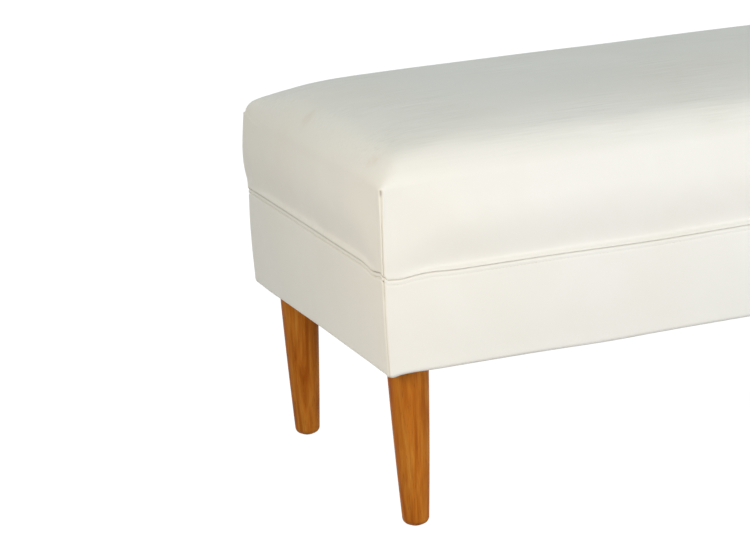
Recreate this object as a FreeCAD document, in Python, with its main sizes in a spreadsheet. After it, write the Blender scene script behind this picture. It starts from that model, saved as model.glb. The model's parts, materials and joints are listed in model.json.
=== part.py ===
import FreeCAD, Part
import math
import os
import Sketcher

from FreeCAD import Rotation, Vector

# An upholstered bench: a sewn cushion cap and a flat lower band over a timber box frame, on four turned legs.
# The origin is on the floor below the centre of the seat. +X runs along the bench, +Z is up, and the front is -Y.
# All sizes are in millimetres, and turns and slopes are in degrees.

DIMENSIONS = {
    # Overall sizes, measured over the cover.
    "bench_length": 1200,
    "bench_depth": 450,
    "underside_height": 185,
    "seam_height": 295,
    "cushion_height": 145,
    # The cap's cross sections. Widths run inwards from the band's face, and drops run down from the crown.
    "seam_draw_in": 3,
    "side_lean": 2,
    "side_drop": 52,
    "side_turn": 12,
    "edge_slope": 42,
    "front_edge_width": 16,
    "front_edge_drop": 22,
    "front_edge_turn": 39,
    "front_shoulder_width": 46,
    "front_shoulder_drop": 9,
    "front_shoulder_turn": 38,
    "end_edge_width": 10,
    "end_edge_drop": 37,
    "end_edge_turn": 44,
    "end_shoulder_width": 70,
    "end_shoulder_drop": 13,
    "end_shoulder_turn": 37,
    # Cover, band and padding.
    "cover_thickness": 1,
    "seam_allowance": 8,
    "hem_width": 30,
    "band_corner_radius": 7,
    "band_edge_radius": 5,
    "wadding_thickness": 6,
    "layer_clearance": 0.2,
    "side_padding_thickness": 5,
    # Frame.
    "rail_thickness": 20,
    "deck_thickness": 12,
    "cross_rail_thickness": 20,
    "cross_rail_height": 70,
    "cross_rail_spacing": 300,
    "block_width": 60,
    "block_nose": 20,
    "block_height": 30,
    # Legs. Insets run from the band's faces to the leg's axis.
    "leg_end_inset": 41,
    "leg_side_inset": 48,
    "leg_top_radius": 23,
    "leg_foot_radius": 14.5,
    "leg_foot_edge": 7,
    "leg_foot_turn": 86,
    "leg_swell_turn": 1.6,
    "glide_radius": 7,
    "glide_thickness": 1,
    "glide_nail_radius": 1.2,
    "glide_nail_length": 15,
    # Leg bolts and their nuts.
    "bolt_radius": 4,
    "bolt_length_in_leg": 35,
    "bolt_length_above_leg": 30,
    "bolt_point_length": 6,
    "bolt_end_chamfer": 1,
    "bolt_hole_clearance": 0.5,
    "nut_barrel_radius": 5.2,
    "nut_barrel_length": 11,
    "nut_flange_radius": 11,
    "nut_flange_thickness": 1.5,
    "nut_prong_inset": 1.5,
    "nut_prong_width": 3,
    "nut_prong_thickness": 1.2,
    "nut_prong_length": 7,
    "thread_clearance": 0.05,
    # Wood screws.
    "screw_radius": 2,
    "screw_head_radius": 4,
    "screw_head_height": 2.6,
    "screw_point_length": 5,
    "screw_hole_clearance": 0.1,
    "frame_screw_length": 50,
    "frame_screw_margin": 25,
    "cross_screw_spread": 36,
    "block_screw_length": 45,
    "block_screw_offset": 46,
    "deck_screw_length": 30,
    "deck_screw_end_margin": 34,
    "deck_screw_spread": 140,
    "deck_end_screw_spread": 200,
    # Dust cover and staples.
    "dust_cover_thickness": 0.5,
    "dust_cover_inset": 12,
    "staple_width": 10,
    "staple_wire": 0.8,
    "staple_crown": 0.6,
    "staple_leg_length": 9,
    "cover_staple_inset": 18,
    "cover_staple_margin": 60,
    "dust_staple_inset": 22,
    "dust_staple_margin": 120,
}

COVER_STAPLES_LONG = 19
COVER_STAPLES_SHORT = 7
DUST_STAPLES_LONG = 9
DUST_STAPLES_SHORT = 3
DECK_SCREWS_LONG = 6
NUT_PRONGS = 4
MARGIN = "20"  # how far a cutting solid runs past what it cuts

# Levels and insets that follow from the driving sizes.
HALF_LENGTH = "(dims.bench_length / 2)"
HALF_DEPTH = "(dims.bench_depth / 2)"
CROWN = "(dims.seam_height + dims.cushion_height)"
HEM_BOTTOM = "(dims.underside_height + dims.dust_cover_thickness)"
FRAME_BOTTOM = f"({HEM_BOTTOM} + dims.cover_thickness)"
DECK_TOP = "(dims.seam_height - dims.cover_thickness)"
LIP_TOP = "(dims.seam_height + dims.cover_thickness)"
FRAME_TOP = f"({DECK_TOP} - dims.deck_thickness)"
FRAME_INSET = "(dims.cover_thickness + dims.side_padding_thickness)"
RAIL_CENTRE_INSET = f"({FRAME_INSET} + dims.rail_thickness / 2)"
BLOCK_INSET = f"({FRAME_INSET} + dims.rail_thickness)"
BLOCK_TOP = f"({FRAME_BOTTOM} + dims.block_height)"
LIP_INSET = "(dims.cover_thickness + dims.seam_allowance)"
WADDING_INSET = "(dims.cover_thickness + dims.layer_clearance)"
WADDING_INNER_INSET = f"({WADDING_INSET} + dims.wadding_thickness)"
FOAM_INSET = f"({WADDING_INNER_INSET} + dims.layer_clearance)"

ACROSS = Rotation(Vector(1, 1, 1), 120)  # a sketch in the YZ plane
ALONG = Rotation(Vector(1, 0, 0), 90)  # a sketch in the XZ plane
DOWN = Rotation()
TO_BACK = Rotation(Vector(1, 0, 0), 90)
TO_FRONT = Rotation(Vector(1, 0, 0), -90)
TO_RIGHT = Rotation(Vector(0, 1, 0), -90)
TO_LEFT = Rotation(Vector(0, 1, 0), 90)
CROSSWISE = Rotation(Vector(0, 0, 1), 90)

doc = FreeCAD.newDocument("upholstered_bench")
subparts = []


def fill_sheet():
    sheet = doc.addObject("Spreadsheet::Sheet", "dims")
    for row, (alias, size) in enumerate(DIMENSIONS.items(), start=1):
        sheet.set(f"A{row}", alias)
        sheet.set(f"B{row}", str(size))
        sheet.setAlias(f"B{row}", alias)
    doc.recompute()
    return sheet


sheet = fill_sheet()


def value(expression):
    return float(sheet.evalExpression(expression))


def bind(item, **expressions):
    for name, expression in expressions.items():
        item.setExpression(name, expression)
    return item


def place(item, x, y, z, rotation=Rotation()):
    item.Placement = FreeCAD.Placement(Vector(), rotation)
    for axis, expression in zip("xyz", (x, y, z)):
        item.setExpression(f"Placement.Base.{axis}", expression)
    return item


def keep(item, label):
    item.Label = label
    subparts.append(item)
    return item


def box(name, low, high):
    """A box between two corners."""
    item = doc.addObject("Part::Box", name)
    sizes = [f"({b}) - ({a})" for a, b in zip(low, high)]
    bind(item, Length=sizes[0], Width=sizes[1], Height=sizes[2])
    return place(item, *low)


def centred_box(name, inset, bottom, top):
    """A box about the bench's centre, inset from the band's faces."""
    far_x = f"({HALF_LENGTH} - ({inset}))"
    far_y = f"({HALF_DEPTH} - ({inset}))"
    return box(name, (f"-{far_x}", f"-{far_y}", bottom), (far_x, far_y, top))


def cut(name, base, *tools):
    """The base less each tool in turn."""
    for number, tool in enumerate(tools):
        item = doc.addObject("Part::Cut", f"{name}_cut_{number}")
        item.Base = base
        item.Tool = tool
        base = item
    return base


def common(name, base, tool):
    item = doc.addObject("Part::Common", name)
    item.Base = base
    item.Tool = tool
    return item


def copies(name, master, spots):
    """Copies of one piece, each at its spot, as one group of separate solids."""
    links = []
    for number, (x, y, z, rotation) in enumerate(spots):
        link = doc.addObject("App::Link", f"{name}_{number}")
        link.LinkedObject = master
        link.LinkTransform = True
        links.append(place(link, x, y, z, rotation))
    group = doc.addObject("Part::Compound", name)
    group.Links = links
    return group


def signed(sign, expression):
    return f"({sign} * {expression})"


def spread(count, reach):
    """Even steps from one end of a row to the other, about its middle."""
    return [f"({reach}) * ({2 * i / (count - 1) - 1})" for i in range(count)]


def arc_radius(start, end, turn):
    span = f"sqrt((({end[0]}) - ({start[0]}))^2 + (({end[1]}) - ({start[1]}))^2)"
    return f"{span} / (2 * sin(({turn}) / 2))"


def draw_outline(sketch, corners):
    """A closed outline, counter-clockwise. Each corner is x, y and the turn of the arc that leaves it, or None."""
    points = [Vector(value(x), value(y), 0) for x, y, _ in corners]
    for i, (x, y, turn) in enumerate(corners):
        start, end = points[i], points[(i + 1) % len(points)]
        if turn is None:
            sketch.addGeometry(Part.LineSegment(start, end), False)
            continue
        half_turn = math.radians(value(turn) / 2)
        chord = end - start
        radius = chord.Length / (2 * math.sin(half_turn))
        inward = Vector(-chord.y, chord.x, 0).normalize()
        centre = (start + end) * 0.5 + inward * (radius * math.cos(half_turn))
        from_angle = math.atan2(start.y - centre.y, start.x - centre.x)
        circle = Part.Circle(centre, Vector(0, 0, 1), radius)
        sketch.addGeometry(Part.ArcOfCircle(circle, from_angle, from_angle + 2 * half_turn), False)
    for i, (x, y, turn) in enumerate(corners):
        before = (i - 1) % len(corners)
        sketch.addConstraint(Sketcher.Constraint("Coincident", before, 2, i, 1))
        for kind, expression, number in (("DistanceX", x, points[i].x), ("DistanceY", y, points[i].y)):
            index = sketch.addConstraint(Sketcher.Constraint(kind, -1, 1, i, 1, number))
            sketch.setExpression(f"Constraints[{index}]", expression)
        if turn is not None:
            expression = arc_radius(corners[i], corners[(i + 1) % len(corners)], turn)
            index = sketch.addConstraint(Sketcher.Constraint("Radius", i, value(expression)))
            sketch.setExpression(f"Constraints[{index}]", expression)
    return sketch


def body_sketch(body, name, plane):
    """A sketch on one of the body's own origin planes."""
    sketch = body.newObject("Sketcher::SketchObject", name)
    face = next(feature for feature in body.Origin.OriginFeatures if feature.Role == plane)
    sketch.AttachmentSupport = [(face, "")]
    sketch.MapMode = "FlatFace"
    return sketch


def turned_body(name, corners):
    """A turned piece: the outline on the body's XZ plane, revolved about its Z axis."""
    body = doc.addObject("PartDesign::Body", name)
    sketch = draw_outline(body_sketch(body, f"{name}_outline", "XZ_Plane"), corners)
    turning = body.newObject("PartDesign::Revolution", f"{name}_turning")
    turning.Profile = sketch
    turning.ReferenceAxis = (sketch, ["V_Axis"])
    turning.Angle = 360
    sketch.Visibility = False
    doc.recompute()
    return body


def drill(body, name, corners):
    """A round hole on the body's Z axis: the outline revolved and taken away."""
    before = body.Shape.Volume
    sketch = draw_outline(body_sketch(body, f"{name}_outline", "XZ_Plane"), corners)
    groove = body.newObject("PartDesign::Groove", name)
    groove.Profile = sketch
    groove.ReferenceAxis = (sketch, ["V_Axis"])
    groove.Angle = 360
    doc.recompute()
    if body.Shape.Volume >= before:
        raise RuntimeError(f"{name} takes nothing away")


def padded_body(name, plane, corners, length, centred=False):
    """A straight piece: the outline on one of the body's planes, padded."""
    body = doc.addObject("PartDesign::Body", name)
    sketch = draw_outline(body_sketch(body, f"{name}_outline", plane), corners)
    pad = body.newObject("PartDesign::Pad", f"{name}_pad")
    pad.Profile = sketch
    if centred:
        pad.SideType = "Symmetric"
    bind(pad, Length=length)
    doc.recompute()
    return body


def round_edges(body, name, radius, wanted):
    """A fillet on the edges of the body's newest feature that the test picks."""
    base = body.Tip
    names = [f"Edge{i}" for i, edge in enumerate(base.Shape.Edges, start=1) if wanted(edge)]
    fillet = body.newObject("PartDesign::Fillet", name)
    fillet.Base = (base, names)
    bind(fillet, Radius=radius)
    doc.recompute()


def upright(edge):
    return abs(edge.tangentAt(edge.FirstParameter).z) > 0.99


def tub(name, inset, bottom, top):
    """A block about the bench's centre with rounded upright corners and a rounded bottom edge."""
    far_x = f"({HALF_LENGTH} - ({inset}))"
    far_y = f"({HALF_DEPTH} - ({inset}))"
    corners = [
        (f"-{far_x}", f"-{far_y}", None),
        (far_x, f"-{far_y}", None),
        (far_x, far_y, None),
        (f"-{far_x}", far_y, None),
    ]
    body = padded_body(name, "XY_Plane", corners, f"({top}) - ({bottom})")
    round_edges(body, f"{name}_corners", f"dims.band_corner_radius - ({inset})", upright)
    level = body.Shape.BoundBox.ZMin
    round_edges(
        body,
        f"{name}_bottom_edge",
        f"dims.band_edge_radius - ({inset})",
        lambda edge: edge.BoundBox.ZMax - level < 0.001,
    )
    return place(body, "0", "0", bottom)


def seat_section(name, half, kind, inset, bottom, length, rotation):
    """The cap's cross section in one direction, drawn inset from the cover's face, as a long solid."""
    inset_in = f"({inset}) * sin(dims.edge_slope)"
    inset_down = f"({inset}) * cos(dims.edge_slope)"
    rise = f"dims.{kind}_shoulder_drop"
    shoulder = f"({half} - dims.{kind}_shoulder_width)"
    right = [
        (f"({half} - dims.seam_draw_in - ({inset}))", bottom),
        (f"({half} - dims.side_lean - ({inset}))", f"({CROWN} - dims.side_drop)"),
        (
            f"({half} - dims.{kind}_edge_width - {inset_in})",
            f"({CROWN} - dims.{kind}_edge_drop - {inset_down})",
        ),
        (shoulder, f"({CROWN} - dims.{kind}_shoulder_drop - ({inset}))"),
    ]
    turns = ["dims.side_turn", f"dims.{kind}_edge_turn", f"dims.{kind}_shoulder_turn"]
    crown_turn = f"4 * atan({rise} / {shoulder})"
    corners = [(x, y, turn) for (x, y), turn in zip(right, [*turns, crown_turn])]
    corners += [(f"-{x}", y, turn) for (x, y), turn in zip(reversed(right), [*reversed(turns), None])]
    sketch = doc.addObject("Sketcher::SketchObject", f"{name}_section")
    sketch.Placement = FreeCAD.Placement(Vector(), rotation)
    draw_outline(sketch, corners)
    solid = doc.addObject("Part::Extrusion", name)
    solid.Base = sketch
    solid.DirMode = "Normal"
    solid.Symmetric = True
    solid.Solid = True
    bind(solid, LengthFwd=length)
    return solid


def seat_form(name, inset, bottom):
    """The cap's closed form, inset from the cover's face: its two cross sections where they meet."""
    across = seat_section(
        f"{name}_across", HALF_DEPTH, "front", inset, bottom, "dims.bench_length", ACROSS
    )
    along = seat_section(f"{name}_along", HALF_LENGTH, "end", inset, bottom, "dims.bench_depth", ALONG)
    return common(name, across, along)


def make_seat():
    """Cover, fibre wadding and foam, one inside the other, on the deck."""
    outer = seat_form("cap_outside", "0", "dims.seam_height")
    inner = seat_form("cap_inside", "dims.cover_thickness", LIP_TOP)
    mouth = centred_box("cap_mouth", LIP_INSET, f"dims.seam_height - {MARGIN}", f"{LIP_TOP} + {MARGIN}")
    keep(cut("seat_cover", outer, inner, mouth), "seat_cover")

    wadding = seat_form("wadding_outside", WADDING_INSET, LIP_TOP)
    hollow = seat_form("wadding_inside", WADDING_INNER_INSET, DECK_TOP)
    keep(cut("wadding_layer", wadding, hollow), "wadding_layer")

    foam = seat_form("foam_form", FOAM_INSET, DECK_TOP)
    rim_outside = centred_box(
        "seam_rim_outside", "0", DECK_TOP, f"{LIP_TOP} + dims.layer_clearance"
    )
    rim_inside = centred_box(
        "seam_rim_inside",
        f"{LIP_INSET} + dims.layer_clearance",
        f"{DECK_TOP} - {MARGIN}",
        f"{LIP_TOP} + {MARGIN}",
    )
    keep(cut("foam_block", foam, cut("seam_rim", rim_outside, rim_inside)), "foam_block")


def corner_wedge(name, base_half, near, far, far_half, angle):
    """A prism whose slanting sides run through two corners of the band at 45 degrees."""
    wedge = doc.addObject("Part::Wedge", name)
    bind(
        wedge,
        Xmin=f"-({base_half})",
        Xmax=base_half,
        X2min=f"-({far_half})",
        X2max=far_half,
        Ymin=near,
        Ymax=far,
        Zmin=f"{HEM_BOTTOM} - {MARGIN}",
        Z2min=f"{HEM_BOTTOM} - {MARGIN}",
        Zmax=f"dims.seam_height + {MARGIN}",
        Z2max=f"dims.seam_height + {MARGIN}",
    )
    wedge.Placement = FreeCAD.Placement(Vector(), Rotation(Vector(0, 0, 1), angle))
    return wedge


def make_band(leg_holes, hem_staples):
    """The four sewn panels of the lower band: a lip under the seam, the wall and the hem below the frame."""
    outside = tub("band_outside", "0", HEM_BOTTOM, "dims.seam_height")
    inside = tub("band_inside", "dims.cover_thickness", FRAME_BOTTOM, DECK_TOP)
    mouth = centred_box("band_mouth", LIP_INSET, DECK_TOP, f"dims.seam_height + {MARGIN}")
    below = centred_box("band_below", "dims.hem_width", f"{HEM_BOTTOM} - {MARGIN}", FRAME_BOTTOM)
    shell = cut("band_shell", outside, inside, mouth, below, leg_holes)
    long_side = (
        f"{HALF_LENGTH} + {MARGIN}",
        f"-({HALF_DEPTH} + {MARGIN})",
        "0",
        f"{HALF_LENGTH} - {HALF_DEPTH}",
    )
    short_side = (
        f"{HALF_DEPTH} + {MARGIN}",
        f"-({HALF_LENGTH} + {MARGIN})",
        f"{HALF_DEPTH} - {HALF_LENGTH}",
        "0",
    )
    sides = {
        "front": (long_side, 0),
        "back": (long_side, 180),
        "left": (short_side, -90),
        "right": (short_side, 90),
    }
    for side, (shape, angle) in sides.items():
        wedge = corner_wedge(f"{side}_wedge", *shape, angle)
        panel = common(f"{side}_panel", shell, wedge)
        keep(cut(f"band_{side}", panel, hem_staples[side]), f"band_{side}")


def make_side_padding():
    """Thin foam round the outside of the rails and the deck."""
    outside = tub("padding_outside", "dims.cover_thickness", FRAME_BOTTOM, DECK_TOP)
    inside = centred_box(
        "padding_inside", FRAME_INSET, f"{FRAME_BOTTOM} - {MARGIN}", f"{DECK_TOP} + {MARGIN}"
    )
    keep(cut("side_padding", outside, inside), "side_padding")


def make_long_rails(holes, *staples):
    """The rails along the front and the back, at the frame's full length."""
    far_x = f"({HALF_LENGTH} - {FRAME_INSET})"
    outer = f"({HALF_DEPTH} - {FRAME_INSET})"
    inner = f"({outer} - dims.rail_thickness)"
    for side, low_y, high_y in (("front", f"-{outer}", f"-{inner}"), ("back", inner, outer)):
        name = f"{side}_rail"
        board = box(f"{name}_board", (f"-{far_x}", low_y, FRAME_BOTTOM), (far_x, high_y, FRAME_TOP))
        keep(cut(name, board, *holes, *[rows[side] for rows in staples]), name)


def make_end_rails(holes, *staples):
    """The rails across the ends, between the long rails."""
    far_y = f"({HALF_DEPTH} - {BLOCK_INSET})"
    outer = f"({HALF_LENGTH} - {FRAME_INSET})"
    inner = f"({outer} - dims.rail_thickness)"
    for side, low_x, high_x in (("left", f"-{outer}", f"-{inner}"), ("right", inner, outer)):
        name = f"{side}_end_rail"
        board = box(f"{name}_board", (low_x, f"-{far_y}", FRAME_BOTTOM), (high_x, far_y, FRAME_TOP))
        keep(cut(name, board, *holes, *[rows[side] for rows in staples]), name)


def make_cross_rails(holes):
    """Three rails across the frame that carry the deck."""
    far_y = f"({HALF_DEPTH} - {BLOCK_INSET})"
    half = "(dims.cross_rail_thickness / 2)"
    for step, name in ((-1, "cross_rail_left"), (0, "cross_rail_middle"), (1, "cross_rail_right")):
        middle = signed(step, "dims.cross_rail_spacing")
        board = box(
            f"{name}_board",
            (f"{middle} - {half}", f"-{far_y}", f"{FRAME_TOP} - dims.cross_rail_height"),
            (f"{middle} + {half}", far_y, FRAME_TOP),
        )
        keep(cut(name, board, *holes), name)


def make_corner_blocks(holes):
    """Five-sided blocks in the frame's corners that take the leg bolts."""
    corners = [
        ("0", "0", None),
        ("dims.block_width", "0", None),
        ("dims.block_width", "dims.block_nose", None),
        ("dims.block_nose", "dims.block_width", None),
        ("0", "dims.block_width", None),
    ]
    turns = {"front_left": 0, "front_right": 90, "back_right": 180, "back_left": 270}
    for corner, angle in turns.items():
        name = f"corner_block_{corner}"
        body = padded_body(f"{name}_blank", "XY_Plane", corners, "dims.block_height")
        side_x, side_y = corner_signs(corner)
        place(
            body,
            signed(side_x, f"({HALF_LENGTH} - {BLOCK_INSET})"),
            signed(side_y, f"({HALF_DEPTH} - {BLOCK_INSET})"),
            FRAME_BOTTOM,
            Rotation(Vector(0, 0, 1), angle),
        )
        keep(cut(name, body, *holes), name)


def corner_signs(corner):
    return (1 if "right" in corner else -1), (1 if "back" in corner else -1)


CORNERS = ("front_left", "front_right", "back_left", "back_right")


def leg_spot(corner, level):
    side_x, side_y = corner_signs(corner)
    return (
        signed(side_x, f"({HALF_LENGTH} - dims.leg_end_inset)"),
        signed(side_y, f"({HALF_DEPTH} - dims.leg_side_inset)"),
        level,
        DOWN,
    )


def make_legs():
    """Turned legs with a rounded foot and a slight swell, drilled for the bolt above and the glide below."""
    bolt_hole = "(dims.bolt_radius + dims.thread_clearance)"
    nail_hole = "(dims.glide_nail_radius + dims.thread_clearance)"
    foot = "dims.glide_thickness"
    edge_top = f"({foot} + dims.leg_foot_edge)"
    taper = "((dims.leg_top_radius - dims.leg_foot_radius) / dims.underside_height)"
    outline = [
        ("0", foot, None),
        ("dims.leg_foot_radius - dims.leg_foot_edge", foot, "dims.leg_foot_turn"),
        (f"dims.leg_foot_radius + {taper} * {edge_top}", edge_top, "dims.leg_swell_turn"),
        ("dims.leg_top_radius", "dims.underside_height", None),
        ("0", "dims.underside_height", None),
    ]
    bolt_bottom = "(dims.underside_height - dims.bolt_length_in_leg - dims.bolt_point_length)"
    bolt_outline = [
        ("0", bolt_bottom, None),
        (bolt_hole, f"{bolt_bottom} + dims.bolt_point_length", None),
        (bolt_hole, f"dims.underside_height + {MARGIN}", None),
        ("0", f"dims.underside_height + {MARGIN}", None),
    ]
    nail_top = f"({foot} + dims.glide_nail_length + dims.thread_clearance)"
    nail_outline = [
        ("0", f"{foot} - {MARGIN}", None),
        (nail_hole, f"{foot} - {MARGIN}", None),
        (nail_hole, nail_top, None),
        ("0", nail_top, None),
    ]
    for corner in CORNERS:
        name = f"leg_{corner}"
        body = turned_body(name, outline)
        drill(body, f"{name}_bolt_hole", bolt_outline)
        drill(body, f"{name}_nail_hole", nail_outline)
        place(body, *leg_spot(corner, "0"))
        keep(body, name)


def make_leg_glides():
    """A round glide with its nail below each leg."""
    outline = [
        ("0", "0", None),
        ("dims.glide_radius", "0", None),
        ("dims.glide_radius", "dims.glide_thickness", None),
        ("dims.glide_nail_radius", "dims.glide_thickness", None),
        ("dims.glide_nail_radius", "dims.glide_thickness + dims.glide_nail_length", None),
        ("0", "dims.glide_thickness + dims.glide_nail_length", None),
    ]
    glide = turned_body("glide", outline)
    keep(copies("leg_glides", glide, [leg_spot(corner, "0") for corner in CORNERS]), "leg_glides")


def make_hanger_bolts():
    """Bolts with a wood thread in the leg and a machine thread above it."""
    above = "dims.bolt_length_above_leg"
    outline = [
        ("0", "-dims.bolt_length_in_leg", None),
        ("dims.bolt_radius", "dims.bolt_point_length - dims.bolt_length_in_leg", None),
        ("dims.bolt_radius", f"{above} - dims.bolt_end_chamfer", None),
        ("dims.bolt_radius - dims.bolt_end_chamfer", above, None),
        ("0", above, None),
    ]
    bolt = turned_body("hanger_bolt", outline)
    spots = [leg_spot(corner, "dims.underside_height") for corner in CORNERS]
    keep(copies("hanger_bolts", bolt, spots), "hanger_bolts")


def make_t_nuts():
    """Flanged nuts on top of the corner blocks, with prongs that bite into the wood."""
    bore = "(dims.bolt_radius + dims.thread_clearance)"
    outline = [
        (bore, "-dims.nut_barrel_length", None),
        ("dims.nut_barrel_radius", "-dims.nut_barrel_length", None),
        ("dims.nut_barrel_radius", "0", None),
        ("dims.nut_flange_radius", "0", None),
        ("dims.nut_flange_radius", "dims.nut_flange_thickness", None),
        (bore, "dims.nut_flange_thickness", None),
    ]
    nut = turned_body("t_nut", outline)
    outer = "(dims.nut_flange_radius - dims.nut_prong_inset)"
    inner = f"({outer} - dims.nut_prong_thickness)"
    half = "(dims.nut_prong_width / 2)"
    prong_corners = [
        (inner, f"-{half}", None),
        (outer, f"-{half}", None),
        (outer, half, None),
        (inner, half, None),
    ]
    sketch = draw_outline(body_sketch(nut, "t_nut_prong_outline", "XY_Plane"), prong_corners)
    prong = nut.newObject("PartDesign::Pad", "t_nut_prong")
    prong.Profile = sketch
    prong.Reversed = True
    bind(prong, Length="dims.nut_prong_length")
    doc.recompute()
    ring = nut.newObject("PartDesign::PolarPattern", "t_nut_prongs")
    ring.Originals = [prong]
    ring.Axis = (sketch, ["N_Axis"])
    ring.Angle = 360
    ring.Occurrences = NUT_PRONGS
    nut.Tip = ring
    doc.recompute()
    spots = [leg_spot(corner, BLOCK_TOP) for corner in CORNERS]
    return keep(copies("t_nuts", nut, spots), "t_nuts")


def leg_bolt_holes():
    """The clearance holes for the leg bolts, and the wider ones for the nuts' barrels."""
    bolt_hole = doc.addObject("Part::Cylinder", "bolt_hole")
    bind(
        bolt_hole,
        Radius="dims.bolt_radius + dims.bolt_hole_clearance",
        Height=f"{BLOCK_TOP} - dims.underside_height + 2 * {MARGIN}",
    )
    barrel_hole = doc.addObject("Part::Cylinder", "barrel_hole")
    bind(
        barrel_hole,
        Radius="dims.nut_barrel_radius + dims.thread_clearance",
        Height=f"dims.nut_barrel_length + {MARGIN}",
    )
    bolt_spots = [leg_spot(corner, f"dims.underside_height - {MARGIN}") for corner in CORNERS]
    barrel_spots = [leg_spot(corner, f"{BLOCK_TOP} - dims.nut_barrel_length") for corner in CORNERS]
    return copies("bolt_holes", bolt_hole, bolt_spots), copies("barrel_holes", barrel_hole, barrel_spots)


def screw_solid(name, length, extra="0"):
    """A countersunk wood screw that points down from its head, or the hole for one."""
    shank = f"(dims.screw_radius + {extra})"
    head = f"(dims.screw_head_radius + {extra})"
    outline = [
        ("0", f"-({length} + {extra})", None),
        (shank, f"dims.screw_point_length - ({length} + {extra})", None),
        (shank, f"-(dims.screw_head_height + {extra})", None),
        (head, f"-{extra}", None),
        (head, "0", None),
        ("0", "0", None),
    ]
    if extra == "0":
        del outline[3]
    return turned_body(name, outline)


def screws(name, length, spots):
    """A group of screws, kept as a node, and the group of holes that they sit in."""
    screw = screw_solid(f"{name}_screw", length)
    hole = screw_solid(f"{name}_hole", length, "dims.screw_hole_clearance")
    keep(copies(name, screw, spots), name)
    return copies(f"{name}_holes", hole, spots)


def frame_screws():
    """Screws through the long rails into the ends of the end rails and the cross rails."""
    spots = []
    for side, aim in ((-1, TO_BACK), (1, TO_FRONT)):
        face = signed(side, f"({HALF_DEPTH} - {FRAME_INSET})")
        for end in (-1, 1):
            x = signed(end, f"({HALF_LENGTH} - {RAIL_CENTRE_INSET})")
            spots.append((x, face, f"{FRAME_BOTTOM} + dims.frame_screw_margin", aim))
            spots.append((x, face, f"{FRAME_TOP} - dims.frame_screw_margin", aim))
        for step in (-1, 0, 1):
            x = signed(step, "dims.cross_rail_spacing")
            middle = f"({FRAME_TOP} - dims.cross_rail_height / 2)"
            for half in (-0.5, 0.5):
                spots.append((x, face, f"{middle} + {half} * dims.cross_screw_spread", aim))
    return screws("frame_screws", "dims.frame_screw_length", spots)


def block_screws():
    """Screws through the rails into the corner blocks."""
    level = f"{FRAME_BOTTOM} + dims.block_height / 2"
    along = f"({BLOCK_INSET} + dims.block_screw_offset)"
    spots = []
    for corner in CORNERS:
        side_x, side_y = corner_signs(corner)
        spots.append(
            (
                signed(side_x, f"({HALF_LENGTH} - {along})"),
                signed(side_y, f"({HALF_DEPTH} - {FRAME_INSET})"),
                level,
                TO_FRONT if side_y > 0 else TO_BACK,
            )
        )
        spots.append(
            (
                signed(side_x, f"({HALF_LENGTH} - {FRAME_INSET})"),
                signed(side_y, f"({HALF_DEPTH} - {along})"),
                level,
                TO_LEFT if side_x > 0 else TO_RIGHT,
            )
        )
    return screws("block_screws", "dims.block_screw_length", spots)


def deck_screws():
    """Screws down through the deck into every rail."""
    reach = f"{HALF_LENGTH} - {FRAME_INSET} - dims.deck_screw_end_margin"
    spots = []
    for side in (-1, 1):
        y = signed(side, f"({HALF_DEPTH} - {RAIL_CENTRE_INSET})")
        spots += [(x, y, DECK_TOP, DOWN) for x in spread(DECK_SCREWS_LONG, reach)]
        end_x = signed(side, f"({HALF_LENGTH} - {RAIL_CENTRE_INSET})")
        spots += [(end_x, y, DECK_TOP, DOWN) for y in spread(2, "dims.deck_end_screw_spread / 2")]
    for step in (-1, 0, 1):
        x = signed(step, "dims.cross_rail_spacing")
        spots += [(x, y, DECK_TOP, DOWN) for y in spread(2, "dims.deck_screw_spread / 2")]
    return screws("deck_screws", "dims.deck_screw_length", spots)


def staple_solid():
    """A staple that points up, with its crown lying along X."""
    half = "(dims.staple_width / 2)"
    inner = f"({half} - dims.staple_wire)"
    corners = [
        (f"-{half}", "0", None),
        (half, "0", None),
        (half, "dims.staple_leg_length", None),
        (inner, "dims.staple_leg_length", None),
        (inner, "dims.staple_crown", None),
        (f"-{inner}", "dims.staple_crown", None),
        (f"-{inner}", "dims.staple_leg_length", None),
        (f"-{half}", "dims.staple_leg_length", None),
    ]
    return padded_body("staple", "XZ_Plane", corners, "dims.staple_wire", centred=True)


def staple_rows(name, staple, inset, level, margin, long_count, short_count):
    """Rows of staples round the underside, a set distance in from the band's faces, by side."""
    rows = {}
    for side, sign in (("front", -1), ("back", 1)):
        y = signed(sign, f"({HALF_DEPTH} - {inset})")
        steps = spread(long_count, f"{HALF_LENGTH} - {margin}")
        rows[side] = copies(f"{name}_{side}", staple, [(x, y, level, DOWN) for x in steps])
    for side, sign in (("left", -1), ("right", 1)):
        x = signed(sign, f"({HALF_LENGTH} - {inset})")
        steps = spread(short_count, f"{HALF_DEPTH} - {margin}")
        rows[side] = copies(f"{name}_{side}", staple, [(x, y, level, CROSSWISE) for y in steps])
    group = doc.addObject("Part::Compound", name)
    group.Links = list(rows.values())
    keep(group, name)
    return rows


def make_dust_cover(leg_holes, dust_staples):
    """Thin cloth that closes the underside."""
    cloth = centred_box("dust_cloth", "dims.dust_cover_inset", "dims.underside_height", HEM_BOTTOM)
    keep(cut("dust_cover", cloth, leg_holes, *dust_staples.values()), "dust_cover")


def check_and_write():
    for item in doc.Objects:
        if "Invalid" in item.State or "Error" in item.State:
            raise RuntimeError(f"{item.Label} failed: {item.State}")
    os.makedirs("parts", exist_ok=True)
    for item in subparts:
        shape = item.Shape
        if shape.isNull() or not shape.isValid() or not shape.Solids:
            raise RuntimeError(f"{item.Label} has no valid solid")
        shape.exportStep(f"parts/{item.Label}.step")
        print(f"{item.Label}: {len(shape.Solids)} solid, {shape.Volume / 1000:.1f} cm3")


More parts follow.
